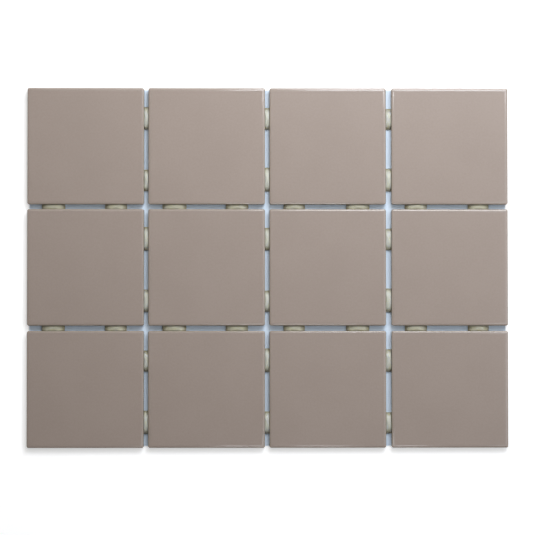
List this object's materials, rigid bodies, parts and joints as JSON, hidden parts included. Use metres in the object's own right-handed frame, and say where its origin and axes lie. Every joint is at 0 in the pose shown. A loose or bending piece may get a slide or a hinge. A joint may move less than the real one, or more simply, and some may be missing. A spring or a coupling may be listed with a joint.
{
  "type": "mosaic tile sheet",
  "caption": "Ready-joined sheet of square satin-glazed ceramic tiles with cushioned edges and open grout joints, held together by drops of glue between the tiles.",
  "frame": {"origin": "middle of the sheet in plan, on the floor that the drops of glue rest on", "axes": "+X along the rows of four tiles, +Y along the columns of three, +Z out of the glazed faces"},
  "size_m": [0.3958, 0.296, 0.0077],
  "materials": {
    "glazed tile": "satin",
    "glue": "satin"
  },
  "bodies": {
    "root": {"tile_row1_column1": "glazed tile", "tile_row1_column2": "glazed tile", "tile_row1_column3": "glazed tile", "tile_row1_column4": "glazed tile", "tile_row2_column1": "glazed tile", "tile_row2_column2": "glazed tile", "tile_row2_column3": "glazed tile", "tile_row2_column4": "glazed tile", "tile_row3_column1": "glazed tile", "tile_row3_column2": "glazed tile", "tile_row3_column3": "glazed tile", "tile_row3_column4": "glazed tile", "glue_column_joint1_drop1": "glue", "glue_column_joint1_drop2": "glue", "glue_column_joint1_drop3": "glue", "glue_column_joint1_drop4": "glue", "glue_column_joint1_drop5": "glue", "glue_column_joint1_drop6": "glue", "glue_column_joint2_drop1": "glue", "glue_column_joint2_drop2": "glue", "glue_column_joint2_drop3": "glue", "glue_column_joint2_drop4": "glue", "glue_column_joint2_drop5": "glue", "glue_column_joint2_drop6": "glue", "glue_column_joint3_drop1": "glue", "glue_column_joint3_drop2": "glue", "glue_column_joint3_drop3": "glue", "glue_column_joint3_drop4": "glue", "glue_column_joint3_drop5": "glue", "glue_column_joint3_drop6": "glue", "glue_row_joint1_drop1": "glue", "glue_row_joint1_drop2": "glue", "glue_row_joint1_drop3": "glue", "glue_row_joint1_drop4": "glue", "glue_row_joint1_drop5": "glue", "glue_row_joint1_drop6": "glue", "glue_row_joint1_drop7": "glue", "glue_row_joint1_drop8": "glue", "glue_row_joint2_drop1": "glue", "glue_row_joint2_drop2": "glue", "glue_row_joint2_drop3": "glue", "glue_row_joint2_drop4": "glue", "glue_row_joint2_drop5": "glue", "glue_row_joint2_drop6": "glue", "glue_row_joint2_drop7": "glue", "glue_row_joint2_drop8": "glue"}
  },
  "joints": []
}
